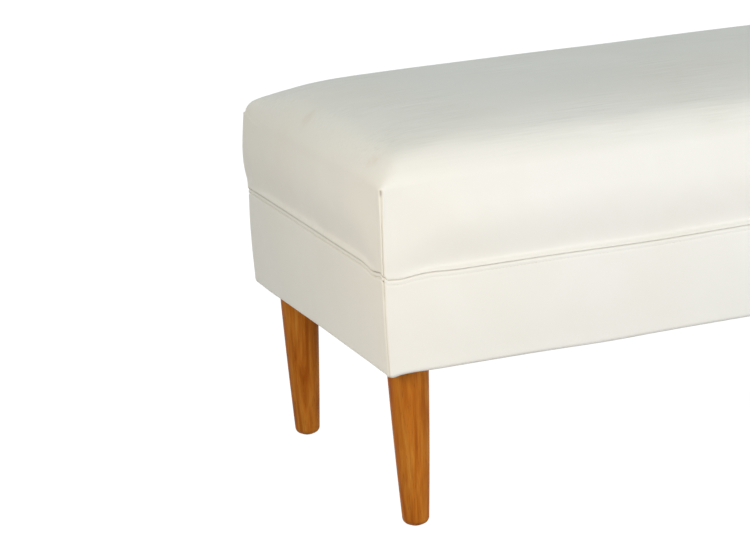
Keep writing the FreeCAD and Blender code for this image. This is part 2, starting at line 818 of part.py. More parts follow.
leg_holes, barrel_holes = leg_bolt_holes()
nuts = make_t_nuts()
frame_holes = frame_screws()
block_holes = block_screws()
deck_holes = deck_screws()
one_staple = staple_solid()
hem_staples = staple_rows(
    "cover_staples",
    one_staple,
    "dims.cover_staple_inset",
    HEM_BOTTOM,
    "dims.cover_staple_margin",
    COVER_STAPLES_LONG,
    COVER_STAPLES_SHORT,
)
dust_staples = staple_rows(
    "dust_cover_staples",
    one_staple,
    "dims.dust_staple_inset",
    "dims.underside_height - dims.staple_crown",
    "dims.dust_staple_margin",
    DUST_STAPLES_LONG,
    DUST_STAPLES_SHORT,
)
make_seat()
make_band(leg_holes, hem_staples)
make_side_padding()
make_long_rails([frame_holes, block_holes, deck_holes], hem_staples, dust_staples)
make_end_rails([frame_holes, block_holes, deck_holes], hem_staples, dust_staples)
make_cross_rails([frame_holes, deck_holes])
make_corner_blocks([leg_holes, barrel_holes, nuts, block_holes])
keep(
    cut("deck_board", centred_box("deck_blank", FRAME_INSET, FRAME_TOP, DECK_TOP), deck_holes),
    "deck_board",
)
make_dust_cover(leg_holes, dust_staples)
make_legs()
make_leg_glides()
make_hanger_bolts()
doc.recompute()
check_and_write()
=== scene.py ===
import json
import math

import bpy
import numpy as np
from mathutils import Matrix, Vector
from mathutils.kdtree import KDTree


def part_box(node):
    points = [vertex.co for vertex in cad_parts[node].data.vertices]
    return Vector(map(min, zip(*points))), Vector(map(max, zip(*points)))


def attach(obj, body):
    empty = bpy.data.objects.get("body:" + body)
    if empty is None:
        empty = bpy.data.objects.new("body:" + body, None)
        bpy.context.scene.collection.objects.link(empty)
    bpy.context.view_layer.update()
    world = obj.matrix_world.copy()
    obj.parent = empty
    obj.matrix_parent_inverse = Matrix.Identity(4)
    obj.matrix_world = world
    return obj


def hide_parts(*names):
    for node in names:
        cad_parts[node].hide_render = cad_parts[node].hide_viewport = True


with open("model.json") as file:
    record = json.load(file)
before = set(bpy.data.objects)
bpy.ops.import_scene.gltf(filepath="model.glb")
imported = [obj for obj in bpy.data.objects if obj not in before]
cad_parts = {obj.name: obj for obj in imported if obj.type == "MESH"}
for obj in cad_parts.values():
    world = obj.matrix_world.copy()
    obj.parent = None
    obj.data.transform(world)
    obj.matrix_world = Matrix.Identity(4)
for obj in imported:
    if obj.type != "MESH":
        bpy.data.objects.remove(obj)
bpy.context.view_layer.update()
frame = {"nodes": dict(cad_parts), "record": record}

# An upholstered bench with a sewn off-white cushion cap, a flat band below it and honey-brown legs.
# Lengths are in metres. The front is -Y, the left end is -X, and the main sizes are the frame's boxes.

MM = 0.001
COVER_LOW, COVER_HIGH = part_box("seat_cover")
BAND_LOW, BAND_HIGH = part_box("side_padding")
COVER_CLOTH = 1 * MM
HALF_LENGTH = BAND_HIGH.x + COVER_CLOTH
HALF_DEPTH = BAND_HIGH.y + COVER_CLOTH
CROWN = COVER_HIGH.z
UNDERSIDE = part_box("dust_cover")[0].z
DECK_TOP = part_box("deck_board")[1].z

# The cap's form: the top rises from the walls' upper edge, which is round on every side. At a full corner
# the end's edge is tight and slopes for longer.
TOP_RISE = 52 * MM
WALL_INSET = 2 * MM
# How the top falls to a long edge: the crown's drop, the extra slope's drop and reach, and the shoulder's
# width and roundness.
FRONT_EDGE = (5.2 * MM, 17.0 * MM, 46 * MM, 42 * MM, 2.15)
BACK_EDGE = (4.8 * MM, 12.0 * MM, 38 * MM, 26 * MM, 2.1)
EDGE_BLEND = 60 * MM
END_EDGE = 36 * MM
FULL_END_EDGE = 9 * MM
FULL_EDGE_REACH = 75 * MM
END_ROUNDNESS = 2.0
END_FALL = 0.42
FULL_END_FALL = 0.64
END_REACH = 46 * MM
CORNER_RADIUS = 5 * MM
CORNER_START = CORNER_RADIUS * (1 - math.sqrt(0.5))
CORNER_EASE = 50 * MM
# How far each corner's seam is pulled in, from 0 for a full corner to 1 for a drawn one.
CORNER_PULL = {"front_left": 1.0, "front_right": 0.7, "back_right": 0.5, "back_left": 0.0}
FULL_CORNER_LIFT = 9 * MM
FULL_CORNER_REACH = 28 * MM

# Steps of the cap's and band's meshes, measured from a corner and up from the seam.
CORNER_STEPS = np.array(
    [0, 0.3, 0.6, 0.9, 1.2, 1.5, 1.9, 2.4, 3, 3.8, 4.8, 6, 7.5, 9.5, 12, 15, 19, 24, 30, 37, 45, 54]
) * MM
LONG_STEP = 5 * MM
WALL_STEPS = np.array(
    [0, 0.3, 0.6, 0.9, 1.3, 1.7, 2.2, 2.8, 3.5, 4.3, 5.2, 6.2, 7.4, 8.8, 10.5, 12.5, 15, 18, 22, 27, 33]
    + [40, 47, 54, 61, 67, 73, 78, 82, 85, 87.5, 89.5, 91.5, 93, 94.5, 96]
) * MM

# The cap's wall above the seam, in millimetres: height, and inset along the sides, at a drawn corner
# and at a full one.
WALL_SHAPE = [
    (0, 2.6, 2.4, 2.2),
    (0.4, 1.6, 1.6, 1.3),
    (1.0, 1.0, 1.0, 0.7),
    (1.9, 1.0, 0.8, 0.3),
    (2.9, 2.0, 0.7, 0.2),
    (4.1, 3.6, 0.8, 0.3),
    (6, 4.6, 0.8, 0.4),
    (9, 4.7, 0.9, 0.4),
    (13, 4.3, 0.9, 0.1),
    (20, 3.3, 1.0, -1.0),
    (32, 1.1, 1.4, -2.2),
    (48, -0.8, 2.0, -2.4),
    (64, -0.9, 2.3, -1.6),
    (80, 0.5, 2.3, -0.6),
    (96, 2.0, 2.1, 0.4),
]

# How the sewn seam runs along each side, in millimetres: its height at the first corner, its rise to the
# last one, and ripples. A ripple is its distance from the first corner, its half width and its height.
SEAM = {
    "front": (291.6, 0.0, [(20, 9, -1.2), (54, 15, 1.6), (315, 60, -1.6), (700, 90, 1.1), (1010, 70, -1)]),
    "right": (296.5, 0.0, [(40, 16, 1.2), (210, 60, -1.0), (400, 18, -2.2)]),
    "back": (298.0, 0.0, [(30, 14, -1.5), (330, 80, 1.2), (760, 90, -1.3), (1160, 20, 1.0)]),
    "left": (303.2, -4.2, [(330, 60, -0.6), (418, 13, -3.4)]),
}
HEM_RIPPLES = {
    "front": [(0, 6, -1.8), (30, 12, 0.6), (259, 40, -1.2), (520, 70, 0.6), (905, 60, -0.9)],
    "right": [(90, 40, -0.7), (300, 50, 0.6)],
    "back": [(180, 60, 0.6), (610, 80, -0.9), (990, 50, 0.6)],
    "left": [(62, 24, -0.9), (240, 50, 0.5), (420, 14, -0.5), (450, 7, -1.6)],
}
SIDES = ("front", "right", "back", "left")
CORNERS = ("front_left", "front_right", "back_left", "back_right")
END_RAILS = ("left_end_rail", "right_end_rail")
CROSS_RAILS = ("cross_rail_left", "cross_rail_middle", "cross_rail_right")

# The cushion's filling, found by cloth simulation.
SEWN_HEIGHT = 9 * MM
FILLING_PRESSURE = 4.0
FILLING_FRAMES = 14
CLOTH_SLACK = 0.006
CAGE_STEP = 9 * MM
CAGE_CORNER_STEPS = np.arange(7) * CAGE_STEP
CAGE_WALL_STEPS = np.append(np.arange(0, 88, 8), 96) * MM
EVENING_ROUNDS = 60
MOST_FOLD = 0.6 * MM
FULLNESS_SHARE = 0.1
MOST_FULLNESS = 2.0 * MM

CORNER_SETTLE = 4 * MM
TOPSTITCH_DROP = 5 * MM
# The band's corner seams stand open over its first rows below the seam, and close over the next.
OPEN_ROWS = 12
OPEN_FADE_ROWS = 6
# How deep the row of topstitching draws the cloth in on each side, as a share.
TOPSTITCH_GROOVE = {"front": 0.05, "right": 1.8, "back": 0.8, "left": 2.4}
# How dark the painted shade at the sewn seam is on each side, as a share.
SEAM_PAINTED_SHADE = {"front": 0.03, "right": 0.26, "back": 0.22, "left": 0.3}
STITCH_PITCH = 4.2 * MM
STITCH_LENGTH = 2.9 * MM
THREAD_RADIUS = 0.36 * MM

CORNER_STITCH_PITCH = 3.1 * MM
CORNER_STITCH_LENGTH = 1.7 * MM
CORNER_THREAD_RADIUS = 0.2 * MM
THREAD_SIDES = 6
# How a stitch dips into the cloth: place along it, lift and thickness.
STITCH_SHAPE = [(-0.5, -0.9, 0.45), (-0.36, -0.15, 0.9), (-0.12, 0.15, 1.0)]
STITCH_SHAPE += [(0.12, 0.15, 1.0), (0.36, -0.15, 0.9), (0.5, -0.9, 0.45)]

DUST_CLOTH_SAG = 2.2 * MM
DUST_CLOTH_FACES = (147, 53)
STAPLE_PITCH = 120 * MM
LEG_TOP_CLEARANCE = 26 * MM

# Directions and starts of the waves that make up a gentle unevenness.
SWELL_WAVES = ((1.0, 0.6, 0.3), (-0.7, 1.1, 2.1), (1.7, -0.4, 4.0), (0.4, 1.9, 5.2))

# The two faint beige marks on the seat: centre and size.
MARKS = [((-0.579, 0.038, 0.421), (0.018, 0.014, 0.03)), ((-0.5845, -0.176, 0.4135), (0.009, 0.014, 0.04))]

# The floor glows where it is seen, and reflects the lamps like grey paint.
FLOOR_HALF_SIZE = 30.0
FLOOR_GLOW = 1.42
FLOOR_GLOW_SHARE = 0.7

# The camera's place from the bench's near lower corner, its turns in radians, and its lens in millimetres.
CAMERA_FROM_NEAR_CORNER = Vector((-0.8926, -2.4119, 0.9921))
CAMERA_YAW = 0.3515
CAMERA_PITCH = 0.2641
CAMERA_ROLL = 0.0569
CAMERA_LENS = 122.88
SENSOR_WIDTH = 36.0


def smooth_step(x):
    x = np.clip(x, 0.0, 1.0)
    return x * x * (3 - 2 * x)


def smooth_curve(xs, ys, x):
    """A smooth line through points, with no overshoot to speak of between close ones."""
    xs, ys = np.asarray(xs, float), np.asarray(ys, float)
    slopes = np.gradient(ys, xs)
    k = np.clip(np.searchsorted(xs, x, side="right") - 1, 0, len(xs) - 2)
    width = xs[k + 1] - xs[k]
    t = np.clip((x - xs[k]) / width, 0, 1)
    return (
        (2 * t**3 - 3 * t**2 + 1) * ys[k]
        + (t**3 - 2 * t**2 + t) * width * slopes[k]
        + (3 * t**2 - 2 * t**3) * ys[k + 1]
        + (t**3 - t**2) * width * slopes[k + 1]
    )


def swell(u, v, size, seed):
    """A gentle, fixed unevenness between about -1 and 1."""
    total = np.zeros(np.broadcast(u, v).shape)
    for i, (a, b, c) in enumerate(SWELL_WAVES):
        total = total + np.sin((a * u + b * v) * 2 * math.pi / size + c + seed * (i + 1.7)) / (1 + 0.4 * i)
    return total / 2.6


def new_object(name, points, faces, smooth=True):
    mesh = bpy.data.meshes.new(name)
    mesh.from_pydata([tuple(map(float, p)) for p in points], [], faces)
    mesh.update()
    item = bpy.data.objects.new(name, mesh)
    bpy.context.scene.collection.objects.link(item)
    if smooth:
        mesh.polygons.foreach_set("use_smooth", [True] * len(mesh.polygons))
    return item


def ring_numbers(start, around, count):
    """The point numbers of closed rings that follow each other in a mesh."""
    return [range(start + row * around, start + (row + 1) * around) for row in range(count)]


def ring_faces(lower, upper):
    """The faces between two closed rings of point numbers."""
    after = [*range(1, len(lower)), 0]
    return [(lower[k], lower[m], upper[m], upper[k]) for k, m in enumerate(after)]


def finish_piece(item, material, nodes=()):
    item.data.materials.clear()
    item.data.materials.append(material)
    if nodes:
        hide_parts(*nodes)
    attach(item, "root")
    return item


def side_half(side):
    return HALF_LENGTH if side in ("front", "back") else HALF_DEPTH


def side_reach(side):
    return HALF_DEPTH if side in ("front", "back") else HALF_LENGTH


def side_stations(side, steps=CORNER_STEPS, long_step=LONG_STEP):
    """Places along a side, from its first corner to its last, close together at the corners."""
    half = side_half(side)
    last = steps[-1]
    count = int(round(2 * (half - last) / long_step))
    middle = np.linspace(-half + last, half - last, count + 1)[1:-1]
    return np.concatenate([-half + steps, middle, (half - steps)[::-1]])


def corner_ease(distance):
    return (1 - smooth_step(distance / CORNER_EASE)) ** 1.5


def corner_round(distance):
    """How far the wall turns in where it nears a corner."""
    left = np.clip(CORNER_RADIUS - CORNER_START - distance, 0, None)
    return CORNER_RADIUS - np.sqrt(CORNER_RADIUS**2 - left**2)


def side_point(side, station, inset, height, corner_inset, shrink=0.0):
    """A point of the wall on one side: the sides run anticlockwise, seen from above."""
    half = side_half(side) - shrink
    reach = side_reach(side) - shrink
    distance = side_half(side) - np.abs(station)
    along = np.sign(station) * (half - distance - (corner_inset + CORNER_START) * corner_ease(distance))
    out = reach - inset - corner_round(distance)
    x, y = {
        "front": (along, -out),
        "right": (out, along),
        "back": (-along, out),
        "left": (-out, -along),
    }[side]
    return np.stack(np.broadcast_arrays(x, y, height), axis=-1)


def ripples(station, half, waves):
    total = np.zeros_like(station)
    for place, width, height in waves:
        total = total + height * MM * np.exp(-(((station + half) / MM - place) / width) ** 2 / 2)
    return total


def plain_seam(side, station):
    start, slope, waves = SEAM[side]
    half = side_half(side)
    share = (station + half) / (2 * half)
    return (start + slope * share) * MM + ripples(station, half, waves)


def seam_height(side, station):
    """The seam's height along a side. The two sides of a corner meet halfway between their own heights."""
    half = side_half(side)
    own = plain_seam(side, station)
    number = SIDES.index(side)
    before, after = SIDES[number - 1], SIDES[(number + 1) % 4]
    first = (plain_seam(side, np.array(-half)) + plain_seam(before, np.array(side_half(before)))) / 2
    last = (plain_seam(side, np.array(half)) + plain_seam(after, np.array(-side_half(after)))) / 2
    to_first = 1 - smooth_step((station + half) / CORNER_SETTLE)
    to_last = 1 - smooth_step((half - station) / CORNER_SETTLE)
    return own + (first - own) * to_first + (last - own) * to_last


def long_edge_rise(distance, form):
    """The share of the top's rise at a distance in from the front or back wall."""
    crown_drop, slope_drop, slope_reach, shoulder, roundness = form
    middle = HALF_DEPTH - shoulder
    crown = crown_drop * (np.clip(HALF_DEPTH - distance, 0, None) / middle) ** 2
    crown = crown + slope_drop * np.exp(-distance / slope_reach)
    edge = TOP_RISE - crown_drop * (HALF_DEPTH / middle) ** 2 - slope_drop
    t = np.clip(1 - distance / shoulder, 0, 1)
    return 1 - (crown + edge * (1 - (1 - t**roundness) ** (1 / roundness))) / TOP_RISE


def end_rise(distance, edge, fall):
    """The share of the top's rise at a distance in from an end wall that is rounded over `edge`."""
    t = np.clip(1 - distance / edge, 0, 1)
    return (1 - fall * np.exp(-distance / END_REACH)) * (1 - t**END_ROUNDNESS) ** (1 / END_ROUNDNESS)


def top_drop(dx, dy, pull, frontness=0.0):
    """How far the top lies below the crown. A full corner stands a little higher than a drawn one."""
    lift = FULL_CORNER_LIFT * (1 - pull) * np.exp(-(dx**2 + dy**2) / FULL_CORNER_REACH**2)
    full = (1 - pull) * np.exp(-((dy / FULL_EDGE_REACH) ** 2))
    edge = END_EDGE + (FULL_END_EDGE - END_EDGE) * full
    fall = END_FALL + (FULL_END_FALL - END_FALL) * full
    front, back = long_edge_rise(dy, FRONT_EDGE), long_edge_rise(dy, BACK_EDGE)
    return TOP_RISE * (1 - end_rise(dx, edge, fall) * (back + (front - back) * frontness)) - lift


def wall_inset(height, distance, pull):
    """The cap wall's inset at a height over the seam and a distance from the nearest corner."""
    heights, middle, drawn, full = (np.array(column) * MM for column in zip(*WALL_SHAPE))
    along = smooth_curve(heights, middle, height)
    near = pull * smooth_curve(heights, drawn, height) + (1 - pull) * smooth_curve(heights, full, height)
    share = smooth_step((distance - 8 * MM) / (75 * MM))
    return near + (along - near) * share


def side_pull(side, station):
    """How drawn in the corner nearest to each place on a side is."""
    ends = {
        "front": ("front_left", "front_right"),
        "right": ("front_right", "back_right"),
        "back": ("back_right", "back_left"),
        "left": ("back_left", "front_left"),
    }[side]
    return np.where(station < 0, CORNER_PULL[ends[0]], CORNER_PULL[ends[1]])


def corner_seam_relief(distance, height, top):
    """The sewn corner: a groove between two folded edges, wider towards its upper end."""
    opening = 0.9 * MM + 0.9 * MM * smooth_step((height / top - 0.45) / 0.5)
    groove = (1.3 + 2.6 * dart_share(height, top)) * MM * np.exp(-((distance / (0.55 * opening)) ** 2))
    ridge = 0.45 * MM * np.exp(-(((distance - 1.35 * opening) / (0.8 * opening)) ** 2))
    return ridge - groove


def seam_puckers(side, station, distance):
    """Small uneven gathers where the cloth is drawn in by the stitches."""
    seed = 1.3 * SIDES.index(side)
    waves = swell(station, 0.0, 0.021, seed) + 0.8 * swell(station, 0.0, 0.043, seed + 2)
    share = {"front": 0.45, "left": 1.0}.get(side, 0.8)
    return 0.42 * MM * share * waves * smooth_step(distance / (14 * MM))


def paint_seam_shade(item, shares):
    """Stores each point's share of painted shade, deepest in the sewn folds, for the material to darken it.
    """
    painted_seam_shade = item.data.attributes.new("painted_seam_shade", "FLOAT", "POINT")
    painted_seam_shade.data.foreach_set("value", shares)


def dart_share(height, top):
    """1 at the small open tuck where a corner seam ends, 0 away from it."""
    return smooth_step((height / top - 0.90) / 0.05) * smooth_step((1.02 - height / top) / 0.03)


def cap_seam_shade(corner_steps, long_step, wall_steps):
    """How much painted shade darkens each point of the walls' rings: at the seam below, along the corner
    seams and at the tuck where they end.
    """
    full = wall_steps[-1]
    rings = []
    for step in wall_steps:
        ring = []
        for side in SIDES:
            station = side_stations(side, corner_steps, long_step)[:-1]
            distance = side_half(side) - np.abs(station)
            sewn = SEAM_PAINTED_SHADE[side] * math.exp(-((step / (0.9 * MM)) ** 2))
            dart = dart_share(step, full)
            line = np.exp(-((distance / ((0.45 + 0.5 * dart) * MM)) ** 2)) * smooth_step(step / (2 * MM))
            ring.append(np.maximum(sewn, line * (0.3 + dart)))
        rings.append(np.concatenate(ring))
    return rings


def cap_walls(inset, detail, corner_steps, long_step, wall_steps):
    """The rings of the cap's side walls, from the seam up to the top's edge."""
    rings = [[] for _ in wall_steps]
    full = wall_steps[-1]
    for side in SIDES:
        station = side_stations(side, corner_steps, long_step)[:-1]
        half = side_half(side)
        distance = half - np.abs(station)
        zero = np.zeros_like(distance)
        pull = side_pull(side, station)
        from_end, from_long = (distance, zero) if side in ("front", "back") else (zero, distance)
        top = CROWN - inset - top_drop(from_end, from_long, pull)
        seam = seam_height(side, station) if detail else np.full_like(station, DECK_TOP + 1 * MM)
        for ring, step in zip(rings, wall_steps):
            height = seam + step * (top - seam) / full
            level = np.full_like(distance, step)
            corner = wall_inset(level, zero, pull)
            depth = wall_inset(level, distance, pull)
            if detail:
                fade = smooth_step(step / (14 * MM)) * smooth_step((full - step) / (10 * MM))
                folds = swell(station, level * 0.25, 0.11, SIDES.index(side)) * 0.35 * MM
                depth = depth - folds * fade * smooth_step(distance / (30 * MM))
                depth = depth - corner_seam_relief(distance, step, full) * smooth_step(step / (5 * MM))
                gather = smooth_step(step / (4 * MM)) * math.exp(-step / (13 * MM))
                depth = depth + seam_puckers(side, station, distance) * gather
            ring.append(side_point(side, station, depth, height, corner, inset))
    return [np.concatenate(ring) for ring in rings]


def top_grid(inset, detail, corner_steps, long_step):
    """The cap's top surface as a grid whose edge is the walls' last ring."""
    xs, ys = (side_stations(side, corner_steps, long_step) for side in ("front", "right"))
    dx = (HALF_LENGTH - np.abs(xs))[:, None]
    dy = (HALF_DEPTH - np.abs(ys))[None, :]
    x = np.sign(xs)[:, None] * (
        HALF_LENGTH - inset - dx - (WALL_INSET + corner_round(dy)) * corner_ease(dx)
    )
    y = np.sign(ys)[None, :] * (
        HALF_DEPTH - inset - dy - (WALL_INSET + corner_round(dx)) * corner_ease(dy)
    )
    left = np.where(ys > 0, CORNER_PULL["back_left"], CORNER_PULL["front_left"])
    right = np.where(ys > 0, CORNER_PULL["back_right"], CORNER_PULL["front_right"])
    pull = np.where(xs[:, None] > 0, right, left)
    frontness = smooth_step((EDGE_BLEND - ys[None, :]) / (2 * EDGE_BLEND))
    z = CROWN - inset - top_drop(dx, dy, pull, frontness)
    if detail:
        inner = smooth_step(np.minimum(dx, dy) / (60 * MM))
        z = z + swell(x, y * 1.6, 0.33, 2.0) * 0.7 * MM * inner
    return np.stack(np.broadcast_arrays(x, y, z), axis=-1)


def pleat(points, corner_x, corner_y, top):
    """The small tuck where the corner seam ends: a dimple with two short folds beside it."""
    sx, sy = np.sign(corner_x), np.sign(corner_y)
    a = (corner_x - points[..., 0]) * sx
    b = (corner_y - points[..., 1]) * sy
    across = (a - b) / math.sqrt(2)
    inward = (a + b) / math.sqrt(2)
    dimple = 1.1 * MM * np.exp(-((across / (1.1 * MM)) ** 2) - ((inward - 2.5 * MM) / (2.6 * MM)) ** 2)
    fold = 0.7 * MM * np.exp(
        -(((np.abs(across) - 2.3 * MM) / (1.2 * MM)) ** 2) - ((inward - 3.6 * MM) / (2.6 * MM)) ** 2
    )
    points[..., 2] += (fold - dimple) * (points[..., 2] > top - 40 * MM)


def build_cap(name, inset, detail, corner_steps=CORNER_STEPS, long_step=LONG_STEP, wall_steps=WALL_STEPS):
    """A closed crowned cushion: walls, top and a flat underside that rests on the deck."""
    rings = cap_walls(inset, detail, corner_steps, long_step, wall_steps)
    top = top_grid(inset, detail, corner_steps, long_step)
    nx, ny = top.shape[:2]
    if detail:
        for sx in (-1, 1):
            for sy in (-1, 1):
                pleat(top, sx * (HALF_LENGTH - 4 * MM), sy * (HALF_DEPTH - 4 * MM), CROWN)
    around = len(rings[0])
    start_top = (len(rings) - 1) * around
    points = rings[:-1] + [top.reshape(-1, 3)]
    faces = []

    def top_index(i, j):
        return start_top + i * ny + j

    edge = [top_index(i, 0) for i in range(nx - 1)]
    edge += [top_index(nx - 1, j) for j in range(ny - 1)]
    edge += [top_index(i, ny - 1) for i in range(nx - 1, 0, -1)]
    edge += [top_index(0, j) for j in range(ny - 1, 0, -1)]
    numbers = ring_numbers(0, around, len(rings) - 1) + [edge]
    for lower, upper in zip(numbers, numbers[1:]):
        faces += ring_faces(lower, upper)
    for i in range(nx - 1):
        for j in range(ny - 1):
            near, far = top_index(i, j), top_index(i + 1, j)
            faces.append((near, far, far + 1, near + 1))
    tuck, under = [], []
    for side in SIDES:
        station = side_stations(side, corner_steps, long_step)[:-1]
        seam = seam_height(side, station) if detail else np.full_like(station, DECK_TOP + 1 * MM)
        level = np.full_like(station, DECK_TOP + 0.4 * MM)
        tuck.append(side_point(side, station, 5.6 * MM, seam + 0.2 * MM, 5.6 * MM, inset))
        under.append(side_point(side, station, 5.9 * MM, level, 5.9 * MM, inset))
    points += [np.concatenate(tuck), np.concatenate(under)]
    tuck_numbers, under_numbers = ring_numbers(start_top + nx * ny, around, 2)
    for k in range(around):
        m = (k + 1) % around
        faces.append((k, tuck_numbers[k], tuck_numbers[m], m))
        faces.append((tuck_numbers[k], under_numbers[k], under_numbers[m], tuck_numbers[m]))
    faces.append(tuple(reversed(under_numbers)))
    cap = new_object(name, np.concatenate(points), faces)
    if detail:
        # Painted shade at the seams and corner seams; the top gets none, and the tuck and underside below
        # the seam get dark painted shade.
        shares = cap_seam_shade(corner_steps, long_step, wall_steps)[:-1]
        shares += [np.zeros(nx * ny), np.full(2 * around, 0.8)]
        paint_seam_shade(cap, np.concatenate(shares))
    return cap


def coordinates(mesh):
    """A mesh's points as an array."""
    flat = np.empty(3 * len(mesh.vertices))
    mesh.vertices.foreach_get("co", flat)
    return flat.reshape(-1, 3)


def filled_shift(cage):
    """How a cushion's points move when it is pumped up in slightly oversized cloth."""
    rest = coordinates(cage.data)
    sewn = cage.vertex_groups.new(name="sewn")
    sewn.add([k for k, point in enumerate(rest) if point[2] < DECK_TOP + SEWN_HEIGHT], 1.0, "REPLACE")
    cloth = cage.modifiers.new("filling", "CLOTH")
    cloth.collision_settings.use_collision = False
    settings = cloth.settings
    settings.quality = 4
    settings.mass = 0.3
    settings.tension_stiffness = 14
    settings.compression_stiffness = 14
    settings.shear_stiffness = 6
    settings.bending_stiffness = 0.6
    settings.vertex_group_mass = "sewn"
    settings.use_pressure = True
    settings.uniform_pressure_force = FILLING_PRESSURE
    settings.shrink_min = -CLOTH_SLACK
    settings.effector_weights.gravity = 0
    scene = bpy.context.scene
    for moment in range(1, FILLING_FRAMES + 1):
        scene.frame_set(moment)
    filled = cage.evaluated_get(bpy.context.evaluated_depsgraph_get())
    shift = coordinates(filled.data) - rest
    cage.modifiers.remove(cloth)
    scene.frame_set(1)
    return rest, shift


def evened(cage, shift, rounds):
    """The shift averaged over each point's neighbours, again and again."""
    edges = np.array([edge.vertices[:] for edge in cage.data.edges])
    count = np.bincount(edges.ravel(), minlength=len(shift))[:, None]
    even = shift.copy()
    for _ in range(rounds):
        total = np.zeros_like(even)
        np.add.at(total, edges[:, 0], even[edges[:, 1]])
        np.add.at(total, edges[:, 1], even[edges[:, 0]])
        even = 0.5 * even + 0.5 * total / count
    return even


def capped(shift, most):
    length = np.linalg.norm(shift, axis=1, keepdims=True)
    return shift * most * np.tanh(length / most) / np.maximum(length, 1e-9)


def settle_cap(cap):
    """Gives the cap the folds and fullness of a coarse copy that cloth simulation has filled."""
    cage = build_cap("filling_cage", 1 * MM, False, CAGE_CORNER_STEPS, CAGE_STEP, CAGE_WALL_STEPS)
    rest, shift = filled_shift(cage)
    fullness = evened(cage, shift, EVENING_ROUNDS)
    folds = capped(shift - fullness, MOST_FOLD)
    shift = capped(fullness * FULLNESS_SHARE, MOST_FULLNESS) + folds
    shift = evened(cage, shift, 1)
    tree = KDTree(len(rest))
    for k, point in enumerate(rest):
        tree.insert(point, k)
    tree.balance()
    points = coordinates(cap.data)
    for k, point in enumerate(points):
        near = tree.find_n(point, 6)
        weight = np.array([1 / (distance + 1 * MM) ** 3 for _, _, distance in near])
        moved = (shift[[index for _, index, _ in near]] * weight[:, None]).sum(0) / weight.sum()
        points[k] += moved * min(max((point[2] - DECK_TOP - 4 * MM) / (14 * MM), 0.0), 1.0)
    cap.data.vertices.foreach_set("co", points.ravel())
    cap.data.update()
    old = cage.data
    bpy.data.objects.remove(cage)
    bpy.data.meshes.remove(old)


def band_profile(groove):
    """The band's outer line, down and under: inset, height, and 1 if from the seam or 0 if from the hem."""
    line = [(5.4, -0.1, 1), (2.8, -0.1, 1), (1.7, -0.4, 1), (1.0, -1.0, 1), (0.7, -1.7, 1), (0.6, -2.6, 1)]
    line += [(0.6, -3.5, 1), (0.65 + 0.2 * groove, -4.2, 1), (0.75 + 0.5 * groove, -4.7, 1)]
    line += [(0.75 + 0.6 * groove, -5.1, 1), (0.65 + 0.4 * groove, -5.6, 1), (0.6 + 0.1 * groove, -6.2, 1)]
    line += [(0.5, -7.0, 1), (0.45, -9.0, 1), (0.4, -12.0, 1), (0.25, -18.0, 1), (0.05, -26.0, 1)]
    line += [(-0.1, -36.0, 1), (-0.1, -48.0, 1), (0.15, 45.0, 0), (0.4, 34.0, 0), (0.75, 24.0, 0)]
    line += [(1.05, 16.0, 0), (1.25, 10.0, 0)]
    for turn in range(0, 100, 10):
        angle = math.radians(turn)
        line.append((6.3 - 5 * math.cos(angle), 5 - 5 * math.sin(angle), 0))
    line += [(9.0, 0.0, 0), (13.0, 0.0, 0), (18.0, 0.0, 0), (24.0, 0.0, 0), (30.0, 0.0, 0)]
    return line


def corner_band_relief(distance, number):
    """The band's upright corner seam: a narrow groove, more open just below the horizontal seam."""
    open_share = 1 - smooth_step((number - OPEN_ROWS) / OPEN_FADE_ROWS)
    depth = (0.45 + 1.7 * open_share) * MM
    lip = 0.15 * MM * np.exp(-(((distance - 1.4 * MM) / (0.8 * MM)) ** 2))
    return depth * np.exp(-((distance / (0.55 * MM)) ** 2)) - lip


def band_sheet(side, station, offset):
    """One face of a band panel as rows of points, offset inwards by the cloth's thickness."""
    line = band_profile(TOPSTITCH_GROOVE[side])
    seam = seam_height(side, station)
    hem = UNDERSIDE + 0.5 * MM
    wave = ripples(station, side_half(side), HEM_RIPPLES[side])
    distance = side_half(side) - np.abs(station)
    rows = []
    for number, (inset, height, from_seam) in enumerate(line):
        before = line[max(number - 1, 0)]
        after = line[min(number + 1, len(line) - 1)]
        run = (after[0] - before[0], (after[1] - before[1]) if after[2] == before[2] else -10.0)
        size = math.hypot(*run)
        inward = (-run[1] / size, run[0] / size)
        depth = inset * MM + inward[0] * offset
        shift = height * MM + inward[1] * offset
        if from_seam:
            level = seam + shift
        else:
            low_share = smooth_step((20 * MM - shift) / (20 * MM))
            outer_share = smooth_step((12 * MM - depth) / (5 * MM))
            level = hem + shift + wave * (low_share * outer_share)
        wall = smooth_step((3 * MM - depth) / (2 * MM))
        uneven = swell(station, level, 0.17, 3.0 + SIDES.index(side)) * 0.35 * MM
        uneven = uneven * wall * smooth_step(distance / (25 * MM))
        if from_seam:
            uneven = uneven * smooth_step(-shift / (8 * MM))
            gather = smooth_step(-shift / (3 * MM)) * math.exp(shift / (16 * MM))
            uneven = uneven - seam_puckers(side, station + 4 * MM, distance) * gather * 0.9
        deeper = corner_band_relief(distance, number) if offset == 0 else 0.0
        rows.append(side_point(side, station, depth + uneven + deeper * wall, level, depth))
    return np.stack(rows)


def band_seam_shade(side, station, rows):
    """How much painted shade darkens each point of a band panel: at the seam, the row of stitches and the
    corner seams.
    """
    distance = side_half(side) - np.abs(station)
    shares = np.zeros((rows, len(station)))
    for number, (_, height, from_seam) in enumerate(band_profile(0)):
        corner = 0.35 * np.exp(-((distance / (0.4 * MM)) ** 2))
        if from_seam:
            open_share = smooth_step((height + 24) / 6) * smooth_step((-height - 2) / 2)
            corner = corner * (1 + 2.2 * open_share)
            seam = math.exp(-((height / 0.9) ** 2))
            stitches = 0.8 * math.exp(-(((height + 5.1) / 0.5) ** 2))
            corner = np.maximum(corner, SEAM_PAINTED_SHADE[side] * max(seam, stitches))
        shares[number] = corner
    return shares


